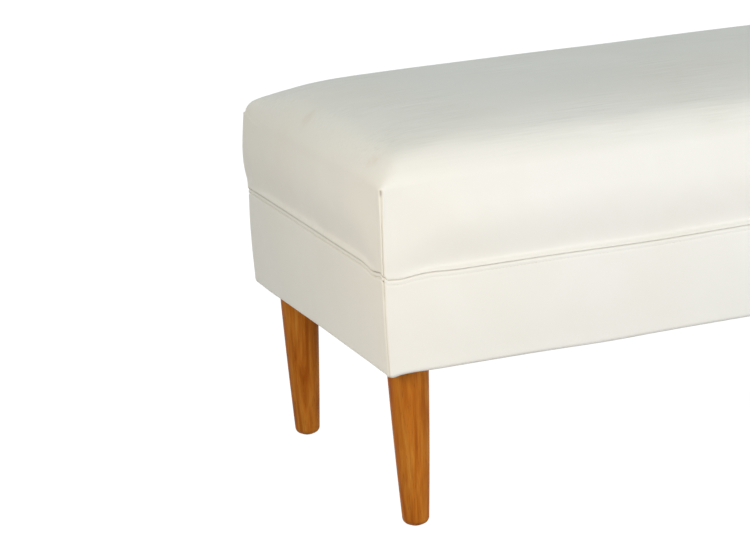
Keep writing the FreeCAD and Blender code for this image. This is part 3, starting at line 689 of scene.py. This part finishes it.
def build_band_panel(side):
    """One band panel: the outer face, the inner face and the edges that join them."""
    station = side_stations(side)
    outer = band_sheet(side, station, 0.0)
    inner = band_sheet(side, station, 0.9 * COVER_CLOTH)
    rows, count = outer.shape[:2]
    points = np.concatenate([outer.reshape(-1, 3), inner.reshape(-1, 3)])
    second = rows * count
    faces = []
    for r in range(rows - 1):
        for k in range(count - 1):
            a, b = r * count + k, r * count + k + 1
            c, d = b + count, a + count
            faces.append((a, d, c, b))
            faces.append((second + a, second + b, second + c, second + d))
    for k in range(count - 1):
        last = (rows - 1) * count
        faces.append((k, k + 1, second + k + 1, second + k))
        faces.append((last + k + 1, last + k, second + last + k, second + last + k + 1))
    for r in range(rows - 1):
        for column in (0, count - 1):
            a, b = r * count + column, (r + 1) * count + column
            face = (a, second + a, second + b, b)
            faces.append(face if column == 0 else face[::-1])
    panel = new_object(f"band_{side}_panel", points, faces)
    # Painted shade at the band's seam, row of stitches and corner seams.
    face_shares = band_seam_shade(side, station, rows)
    paint_seam_shade(panel, np.concatenate([face_shares.ravel(), face_shares.ravel()]))
    return panel


def thread_piece(centre, along, outward, length, radius, points, faces):
    """One stitch: a short thread that dips into the cloth at both ends."""
    side = np.cross(outward, along)
    numbers = ring_numbers(len(points), THREAD_SIDES, len(STITCH_SHAPE))
    for place, lift, size in STITCH_SHAPE:
        middle = centre + along * (place * length) + outward * (lift * radius)
        for k in range(THREAD_SIDES):
            angle = 2 * math.pi * k / THREAD_SIDES
            points.append(middle + (side * math.cos(angle) + outward * math.sin(angle)) * radius * size)
    for ring, after in zip(numbers, numbers[1:]):
        faces.extend(ring_faces(after, ring))
    faces.append(tuple(numbers[0]))
    faces.append(tuple(reversed(numbers[-1])))


def build_topstitching():
    """The row of stitches on the band just below the seam."""
    points, faces = [], []
    for side in SIDES:
        half = side_half(side)
        count = int((2 * half - 16 * MM) / STITCH_PITCH)
        station = (np.arange(count) - (count - 1) / 2) * STITCH_PITCH
        depth = np.full_like(station, (0.95 + 0.45 * TOPSTITCH_GROOVE[side]) * MM)
        next_station = station + 1 * MM
        level = seam_height(side, station) - TOPSTITCH_DROP
        next_level = seam_height(side, next_station) - TOPSTITCH_DROP
        place = side_point(side, station, depth, level, 0.5 * MM)
        ahead = side_point(side, next_station, depth, next_level, 0.5 * MM)
        for here, there in zip(place, ahead):
            along = (there - here) / np.linalg.norm(there - here)
            outward = np.array([along[1], -along[0], 0.0])
            outward = outward / np.linalg.norm(outward)
            thread_piece(here, along, outward, STITCH_LENGTH, THREAD_RADIUS, points, faces)
    return new_object("band_topstitching", points, faces)


def build_corner_stitching():
    """Short stitches across the band's four upright corner seams."""
    points, faces = [], []
    inset = CORNER_START + 0.5 * MM
    for sx, sy in ((-1, -1), (1, -1), (1, 1), (-1, 1)):
        outward = np.array([sx, sy, 0.0]) / math.sqrt(2)
        along = np.array([-sy, sx, 0.0]) / math.sqrt(2)
        centre = np.array([sx * (HALF_LENGTH - inset), sy * (HALF_DEPTH - inset), 0.0])
        level = UNDERSIDE + 8 * MM
        while level < DECK_TOP - 9 * MM:
            here = centre + np.array([0, 0, level])
            thread_piece(here, along, outward, CORNER_STITCH_LENGTH, CORNER_THREAD_RADIUS, points, faces)
            level += CORNER_STITCH_PITCH
    return new_object("corner_stitching", points, faces)


def build_edge_padding():
    """The thin foam between the band and the rails, one closed ring."""
    low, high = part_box("front_rail")[0].z + 1.5 * MM, DECK_TOP - 9 * MM
    section = [(2.6, low + 4 * MM), (4.5, low), (5.8, low), (5.8, high), (3.6, high), (2.6, high - 2 * MM)]
    rings = []
    for inset, height in section:
        ring = []
        for side in SIDES:
            station = side_stations(side)[:-1]
            level = np.full_like(station, height)
            ring.append(side_point(side, station, np.full_like(station, inset * MM), level, inset * MM))
        rings.append(np.concatenate(ring))
    numbers = ring_numbers(0, len(rings[0]), len(rings))
    faces = []
    for ring, after in zip(numbers, numbers[1:] + numbers[:1]):
        faces += ring_faces(after, ring)
    return new_object("edge_padding", np.concatenate(rings), faces)


def build_dust_cloth():
    """The cloth under the frame, stapled at its edge and hanging a little between the staples."""
    low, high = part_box("dust_cover")
    legs = [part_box(f"leg_{corner}") for corner in CORNERS]
    nx, ny = (count + 1 for count in DUST_CLOTH_FACES)
    xs = np.linspace(low.x, high.x, nx)[:, None]
    ys = np.linspace(low.y, high.y, ny)[None, :]
    edge = np.minimum(np.minimum(xs - low.x, high.x - xs), np.minimum(ys - low.y, high.y - ys))
    sag = DUST_CLOTH_SAG * smooth_step((edge - 12 * MM) / (70 * MM))
    sag = sag * (0.8 + 0.2 * swell(xs, ys, 0.4, 1.0))
    pucker = 0.35 * MM * np.cos(2 * math.pi * xs / STAPLE_PITCH) * np.exp(-((edge / (30 * MM)) ** 2))
    for leg_low, leg_high in legs:
        centre = (leg_low + leg_high) / 2
        reach = np.hypot(xs - centre.x, ys - centre.y)
        sag = sag * smooth_step((reach - LEG_TOP_CLEARANCE) / (60 * MM))
        pucker = pucker * smooth_step((reach - LEG_TOP_CLEARANCE) / (20 * MM))
    upper = low.z + 0.45 * MM - sag
    lower = low.z + 0.05 * MM - sag - np.abs(pucker) * 0.3
    points = []
    for level in (upper, lower):
        points.append(np.stack(np.broadcast_arrays(xs, ys, level), axis=-1).reshape(-1, 3))
    faces = []
    second = nx * ny
    for i in range(nx - 1):
        for j in range(ny - 1):
            a, b, c, d = i * ny + j, (i + 1) * ny + j, (i + 1) * ny + j + 1, i * ny + j + 1
            faces.append((a, b, c, d))
            faces.append((second + d, second + c, second + b, second + a))
    rim = [i * ny for i in range(nx)] + [(nx - 1) * ny + j for j in range(1, ny)]
    rim += [i * ny + ny - 1 for i in range(nx - 2, -1, -1)] + [j for j in range(ny - 2, 0, -1)]
    faces += ring_faces([second + a for a in rim], rim)
    return new_object("dust_cloth", np.concatenate(points), faces)


class Shader:
    """A small helper that adds and joins nodes of one material."""

    def __init__(self, name):
        self.material = bpy.data.materials.new(name)
        self.material.use_nodes = True
        self.tree = self.material.node_tree
        self.surface = self.tree.nodes["Principled BSDF"]
        self.place = self.add("ShaderNodeTexCoord").outputs["Object"]

    def add(self, kind, **settings):
        node = self.tree.nodes.new(kind)
        for key, setting in settings.items():
            setattr(node, key, setting)
        return node

    def join(self, source, target):
        self.tree.links.new(source, target)

    def put(self, value, socket):
        """Gives a socket a number, a colour or another node's output."""
        if isinstance(value, (int, float)):
            socket.default_value = value
        elif isinstance(value, tuple):
            socket.default_value = (*value, 1.0)
        else:
            self.join(value, socket)

    def vector_math(self, operation, source, numbers=(0, 0, 0)):
        node = self.add("ShaderNodeVectorMath", operation=operation)
        self.join(source, node.inputs[0])
        node.inputs[1].default_value = numbers
        return node.outputs["Value" if operation == "LENGTH" else "Vector"]

    def scaled(self, scale):
        return self.vector_math("MULTIPLY", self.place, scale)

    def noise(self, scale, detail=2.0, roughness=0.5, stretch=(1, 1, 1), distortion=0.0):
        node = self.add("ShaderNodeTexNoise")
        self.join(self.scaled(stretch), node.inputs["Vector"])
        node.inputs["Scale"].default_value = scale
        node.inputs["Detail"].default_value = detail
        node.inputs["Roughness"].default_value = roughness
        node.inputs["Distortion"].default_value = distortion
        return node.outputs["Fac"]

    def cells(self, scale, feature="F1", stretch=(1, 1, 1)):
        node = self.add("ShaderNodeTexVoronoi", feature=feature)
        self.join(self.scaled(stretch), node.inputs["Vector"])
        node.inputs["Scale"].default_value = scale
        return node.outputs["Distance"]

    def ramp(self, source, *stops):
        node = self.add("ShaderNodeValToRGB")
        self.join(source, node.inputs["Fac"])
        elements = node.color_ramp.elements
        while len(elements) < len(stops):
            elements.new(0.5)
        for element, (place, color) in zip(elements, stops):
            element.position = place
            element.color = (*color, 1.0)
        return node.outputs["Color"]

    def range(self, source, low, high, to_low, to_high):
        node = self.add("ShaderNodeMapRange")
        self.join(source, node.inputs["Value"])
        for key, number in zip(("From Min", "From Max", "To Min", "To Max"), (low, high, to_low, to_high)):
            node.inputs[key].default_value = number
        return node.outputs["Result"]

    def math(self, operation, a, b=0.0):
        node = self.add("ShaderNodeMath", operation=operation)
        self.put(a, node.inputs[0])
        self.put(b, node.inputs[1])
        return node.outputs[0]

    def mix(self, factor, a, b, blend="MIX"):
        node = self.add("ShaderNodeMix", data_type="RGBA", blend_type=blend)
        self.put(factor, node.inputs[0])
        self.put(a, node.inputs[6])
        self.put(b, node.inputs[7])
        return node.outputs[2]

    def bump(self, height, strength, distance, under=None):
        node = self.add("ShaderNodeBump")
        node.inputs["Strength"].default_value = strength
        node.inputs["Distance"].default_value = distance
        self.join(height, node.inputs["Height"])
        if under is not None:
            self.join(under, node.inputs["Normal"])
        return node.outputs["Normal"]

    def spot(self, centre, size):
        """1 at a place on the surface, fading to 0 at the given sizes away from it."""
        shift = self.vector_math("SUBTRACT", self.place, centre)
        length = self.vector_math("LENGTH", self.vector_math("DIVIDE", shift, size))
        return self.range(length, 0.2, 1.0, 1.0, 0.0)

    def upward(self):
        """1 where the surface faces up, 0 on upright walls."""
        normal = self.add("ShaderNodeNewGeometry").outputs["Normal"]
        parts = self.add("ShaderNodeSeparateXYZ")
        self.join(normal, parts.inputs[0])
        return self.range(parts.outputs["Z"], 0.35, 0.9, 0.0, 1.0)

    def set(self, **values):
        for key, value in values.items():
            self.put(value, self.surface.inputs[key.replace("_", " ")])
        return self.material


def linear(red, green, blue):
    """A colour given in screen values from 0 to 255."""
    def channel(number):
        share = number / 255
        return share / 12.92 if share <= 0.04045 else ((share + 0.055) / 1.055) ** 2.4

    return channel(red), channel(green), channel(blue)


def cover_material(name, marks):
    """Smooth coated upholstery cloth with a fine grain, faint wrinkles along the seat with painted shade
    and painted highlight along them, and a few marks.
    """
    s = Shader(name)
    base, warm, cool = linear(240, 237, 230), linear(234, 229, 218), linear(236, 236, 230)
    patches = s.noise(7.0, 3.0, 0.55)
    color = s.mix(s.range(patches, 0.35, 0.7, 0.0, 0.55), base, warm)
    clouds = s.noise(2.6, 2.0, 0.5, distortion=0.6)
    color = s.mix(s.range(clouds, 0.4, 0.7, 0.0, 0.5), color, cool)
    wrinkle_lines = s.noise(1.0, 4.0, 0.6, stretch=(16, 300, 300), distortion=0.5)
    broken = s.noise(9.0, 2.0, 0.5)
    wrinkle_mask = s.math("MULTIPLY", s.upward(), s.range(broken, 0.4, 0.65, 0.0, 1.0))
    # Painted shade along the fine wrinkles on the top.
    faint = s.math("MULTIPLY", wrinkle_mask, s.range(wrinkle_lines, 0.5, 0.7, 0.0, 0.22))
    color = s.mix(faint, color, linear(196, 197, 190))
    # Painted highlight along the fine wrinkles on the top.
    pale = s.math("MULTIPLY", wrinkle_mask, s.range(wrinkle_lines, 0.44, 0.32, 0.0, 0.5))
    color = s.mix(pale, color, linear(248, 247, 242))
    for centre, size in marks:
        wobble = s.noise(60.0, 2.0, 0.6)
        mark = s.math("MULTIPLY", s.spot(centre, size), s.range(wobble, 0.3, 0.7, 0.1, 1.0))
        color = s.mix(s.math("MULTIPLY", mark, 0.45), color, linear(214, 196, 170))
    # Painted shade from each point's stored share: dark in the seams, the corner seams and the gap under
    # the seam.
    painted_seam_shade = s.add("ShaderNodeAttribute", attribute_name="painted_seam_shade").outputs["Fac"]
    color = s.mix(s.math("MULTIPLY", painted_seam_shade, 0.8), color, linear(92, 82, 68))
    grain = s.cells(1500.0, "SMOOTH_F1")
    pores = s.noise(2600.0, 1.0, 0.5)
    fine = s.bump(s.math("ADD", grain, s.math("MULTIPLY", pores, 0.5)), 0.10, 0.0003)
    soft = s.bump(s.noise(38.0, 3.0, 0.55), 0.10, 0.004, fine)
    creases = s.bump(s.math("MULTIPLY", wrinkle_lines, wrinkle_mask), 0.14, 0.0014, soft)
    rough = s.range(s.noise(90.0, 3.0, 0.6), 0.3, 0.7, 0.44, 0.54)
    s.set(Specular_IOR_Level=0.3, Coat_Weight=0.02, Coat_Roughness=0.35)
    return s.set(Base_Color=color, Normal=creases, Roughness=rough)


def thread_material():
    s = Shader("polyester_thread")
    twist = s.noise(2400.0, 1.0, 0.5, stretch=(1, 1, 3))
    color = s.mix(s.range(twist, 0.3, 0.7, 0.0, 1.0), linear(238, 234, 225), linear(220, 215, 203))
    return s.set(Base_Color=color, Roughness=0.55, Normal=s.bump(twist, 0.3, 0.0002))


def leg_material():
    """Honey-brown varnish over straight, fine-grained wood with short dark pores along the grain."""
    s = Shader("leg_varnish")
    light, mid, dark = linear(208, 140, 56), linear(190, 112, 34), linear(158, 80, 14)
    broad = s.noise(1.0, 3.0, 0.55, stretch=(70, 70, 7), distortion=1.2)
    color = s.ramp(broad, (0.30, dark), (0.52, mid), (0.75, light))
    fine = s.noise(1.0, 4.0, 0.65, stretch=(520, 520, 22), distortion=0.3)
    color = s.mix(s.range(fine, 0.42, 0.75, 0.0, 0.55), color, linear(150, 82, 26))
    pores = s.noise(1.0, 2.0, 0.5, stretch=(900, 900, 75))
    color = s.mix(s.range(pores, 0.64, 0.74, 0.0, 0.55), color, linear(104, 48, 12))
    relief = s.bump(s.math("ADD", fine, s.math("MULTIPLY", pores, -0.6)), 0.10, 0.0004)
    rough = s.range(s.noise(40.0, 2.0, 0.5), 0.3, 0.7, 0.42, 0.52)
    return s.set(Base_Color=color, Normal=relief, Roughness=rough, Specular_IOR_Level=0.06)


def timber_material(name, light, dark, stretch, rings):
    """Raw sawn timber with its grain along one axis."""
    s = Shader(name)
    grain = s.noise(1.0, 5.0, 0.6, stretch=stretch, distortion=rings)
    fine = s.noise(1.0, 3.0, 0.6, stretch=tuple(12 * v for v in stretch))
    color = s.ramp(grain, (0.35, dark), (0.6, light))
    color = s.mix(s.range(fine, 0.45, 0.75, 0.0, 0.35), color, dark)
    return s.set(Base_Color=color, Roughness=0.75, Normal=s.bump(fine, 0.25, 0.0006))


def foam_material():
    s = Shader("open_cell_foam")
    pores = s.cells(900.0)
    # Painted shade darkens the foam's pore hollows.
    color = s.mix(s.range(pores, 0.0, 0.5, 1.0, 0.0), linear(236, 226, 186), linear(204, 190, 140))
    return s.set(Base_Color=color, Roughness=0.9, Normal=s.bump(pores, 0.5, 0.0006))


def black_cloth_material():
    """Thin spun cloth with flattened fibre specks."""
    s = Shader("spun_black_cloth")
    fibres = s.noise(1.0, 3.0, 0.7, stretch=(500, 900, 500), distortion=1.5)
    dots = s.cells(420.0)
    color = s.mix(s.range(fibres, 0.4, 0.7, 0.0, 1.0), linear(22, 22, 23), linear(44, 44, 46))
    relief = s.bump(s.math("ADD", dots, fibres), 0.4, 0.0005)
    return s.set(Base_Color=color, Roughness=0.85, Normal=relief)


def plated_material():
    s = Shader("zinc_plate")
    streak = s.noise(1.0, 3.0, 0.6, stretch=(300, 300, 60))
    color = s.mix(s.range(streak, 0.3, 0.7, 0.0, 1.0), (0.60, 0.61, 0.62), (0.74, 0.74, 0.73))
    rough = s.range(streak, 0.3, 0.7, 0.28, 0.42)
    return s.set(Base_Color=color, Metallic=1.0, Roughness=rough)


def glide_material():
    s = Shader("glide_plastic")
    speck = s.noise(700.0, 2.0, 0.6)
    color = s.mix(s.range(speck, 0.4, 0.7, 0.0, 1.0), linear(58, 38, 26), linear(76, 52, 36))
    return s.set(Base_Color=color, Roughness=0.5, Normal=s.bump(speck, 0.2, 0.0002))


def dress_nodes(materials):
    """Every CAD node that stays gets the material of its slot."""
    slots = {row["node"]: row["material_slot"] for row in frame["record"]["subparts"]}
    for name, node in frame["nodes"].items():
        material = materials.get(name) or materials[slots[name]]
        node.data.materials.clear()
        node.data.materials.append(material)


def build_floor():
    size = FLOOR_HALF_SIZE
    corners = [(-size, -size, 0), (size, -size, 0), (size, size, 0), (-size, size, 0)]
    floor = new_object("studio_floor", corners, [(0, 1, 2, 3)], smooth=False)
    s = Shader("studio_floor_paint")
    s.set(Base_Color=(0.36, 0.36, 0.36), Roughness=0.9, Specular_IOR_Level=0.2)
    glow = s.add("ShaderNodeEmission")
    glow.inputs["Strength"].default_value = FLOOR_GLOW
    paths = s.add("ShaderNodeLightPath").outputs
    seen = s.math("MAXIMUM", paths["Is Camera Ray"], paths["Is Glossy Ray"])
    seen = s.math("MAXIMUM", seen, paths["Is Transmission Ray"])
    blend = s.add("ShaderNodeMixShader")
    s.join(s.math("MULTIPLY", seen, FLOOR_GLOW_SHARE), blend.inputs[0])
    s.join(s.surface.outputs[0], blend.inputs[1])
    s.join(glow.outputs[0], blend.inputs[2])
    output = s.tree.nodes["Material Output"]
    s.join(blend.outputs[0], output.inputs["Surface"])
    floor.data.materials.append(s.material)


def build_world(strength, color):
    world = bpy.data.worlds.new("studio")
    bpy.context.scene.world = world
    world.use_nodes = True
    tree = world.node_tree
    soft = tree.nodes["Background"]
    soft.inputs["Color"].default_value = (*color, 1.0)
    soft.inputs["Strength"].default_value = strength
    white = tree.nodes.new("ShaderNodeBackground")
    white.inputs["Color"].default_value = (1, 1, 1, 1)
    white.inputs["Strength"].default_value = 1.0
    paths = tree.nodes.new("ShaderNodeLightPath")
    seen = tree.nodes.new("ShaderNodeMath")
    seen.operation = "MAXIMUM"
    blend = tree.nodes.new("ShaderNodeMixShader")
    join = tree.links.new
    join(paths.outputs["Is Camera Ray"], seen.inputs[0])
    join(paths.outputs["Is Transmission Ray"], seen.inputs[1])
    join(seen.outputs[0], blend.inputs[0])
    join(soft.outputs[0], blend.inputs[1])
    join(white.outputs[0], blend.inputs[2])
    join(blend.outputs[0], tree.nodes["World Output"].inputs["Surface"])


def add_lamp(name, place, target, width, height, power, color):
    lamp = bpy.data.lights.new(name, "AREA")
    lamp.shape = "RECTANGLE"
    lamp.size, lamp.size_y = width, height
    lamp.energy = power
    lamp.color = color
    item = bpy.data.objects.new(name, lamp)
    bpy.context.scene.collection.objects.link(item)
    item.location = place
    item.rotation_euler = (Vector(target) - Vector(place)).to_track_quat("-Z", "Y").to_euler()
    item.visible_camera = False


def build_camera():
    """The photograph's view, from the front left and a little above."""
    level = math.cos(CAMERA_PITCH)
    forward = Vector((math.sin(CAMERA_YAW) * level, math.cos(CAMERA_YAW) * level, -math.sin(CAMERA_PITCH)))
    right = Vector((math.cos(CAMERA_YAW), -math.sin(CAMERA_YAW), 0))
    down = forward.cross(right)
    turned_right = right * math.cos(CAMERA_ROLL) + down * math.sin(CAMERA_ROLL)
    turned_down = down * math.cos(CAMERA_ROLL) - right * math.sin(CAMERA_ROLL)
    turn = Matrix((turned_right, -turned_down, -forward)).transposed().to_4x4()
    data = bpy.data.cameras.new("camera")
    data.lens = CAMERA_LENS
    data.sensor_width = SENSOR_WIDTH
    data.clip_end = 100
    item = bpy.data.objects.new("camera", data)
    bpy.context.scene.collection.objects.link(item)
    near_corner = Vector((-HALF_LENGTH, -HALF_DEPTH, 0))
    item.matrix_world = Matrix.Translation(near_corner + CAMERA_FROM_NEAR_CORNER) @ turn
    bpy.context.scene.camera = item


def build_bench():
    cover = cover_material("coated_cover", MARKS)
    band_cover = cover_material("coated_band", [])
    thread = thread_material()
    foam = foam_material()
    cloth = black_cloth_material()

    cap = build_cap("seat_cap", 0.0, True)
    settle_cap(cap)
    finish_piece(cap, cover, ("seat_cover", "wadding_layer"))
    core = build_cap("seat_foam_core", 8 * MM, False)
    finish_piece(core, foam, ("foam_block",))
    for side in SIDES:
        finish_piece(build_band_panel(side), band_cover, (f"band_{side}",))
    padding = build_edge_padding()
    finish_piece(padding, foam, ("side_padding",))
    finish_piece(build_topstitching(), thread)
    finish_piece(build_corner_stitching(), thread)
    dust = build_dust_cloth()
    finish_piece(dust, cloth, ("dust_cover",))

    pale, brown = linear(222, 190, 138), linear(188, 146, 92)
    pine = timber_material("raw_pine", pale, brown, (4, 60, 60), 1.6)
    pine_across = timber_material("raw_pine_across", pale, brown, (60, 4, 60), 1.6)
    birch_pale, birch_brown = linear(214, 184, 140), linear(186, 150, 104)
    plywood = timber_material("birch_plywood", birch_pale, birch_brown, (5, 26, 420), 0.8)
    materials = {
        "varnished_leg_wood": leg_material(),
        "frame_timber": pine,
        "plywood": plywood,
        "plated_steel": plated_material(),
        "black_cloth": cloth,
        "glide_plastic": glide_material(),
        "upholstery": cover,
        "seat_foam": foam,
        "fibre_wadding": foam,
    }
    for name in END_RAILS + CROSS_RAILS:
        materials[name] = pine_across
    dress_nodes(materials)


def build_studio():
    build_floor()
    build_world(0.63, (0.938, 1.0, 0.998))
    add_lamp("front_key", (0.6, -1.8, 0.42), (-0.1, -0.2, 0.33), 1.0, 0.5, 16.4, (0.925, 0.945, 1.0))
    add_lamp("corner_fill", (-1.35, -0.8, 0.6), (-0.6, -0.1, 0.3), 0.4, 0.4, 4.8, (1.0, 0.84, 0.66))
    build_camera()
    bpy.context.scene.view_settings.view_transform = "Standard"


build_bench()
build_studio()
